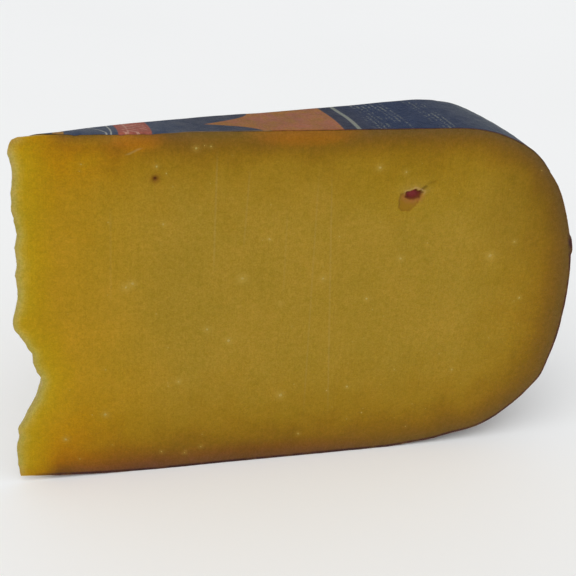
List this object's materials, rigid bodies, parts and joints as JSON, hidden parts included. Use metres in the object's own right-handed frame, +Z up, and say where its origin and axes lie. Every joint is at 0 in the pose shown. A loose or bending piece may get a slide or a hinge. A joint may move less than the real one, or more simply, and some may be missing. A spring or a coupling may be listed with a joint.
{
  "type": "cheese wedge",
  "caption": "Narrow wedge of aged hard cheese cut from a round wheel, with a broken tip, a full rounded rind and a printed label over its top and shoulder.",
  "frame": {"origin": "middle of the wedge's bounding box, on the flat base that it stands on", "axes": "+X from the broken thin end to the rounded rim, +Y to the back cut face, -Y to the front cut face with the small eye in it, +Z up to the label"},
  "size_m": [0.1808, 0.0384, 0.1157],
  "materials": {
    "cheese": "satin",
    "label": "satin"
  },
  "bodies": {
    "root": {"cheese": "cheese", "top_label": "label"}
  },
  "joints": []
}
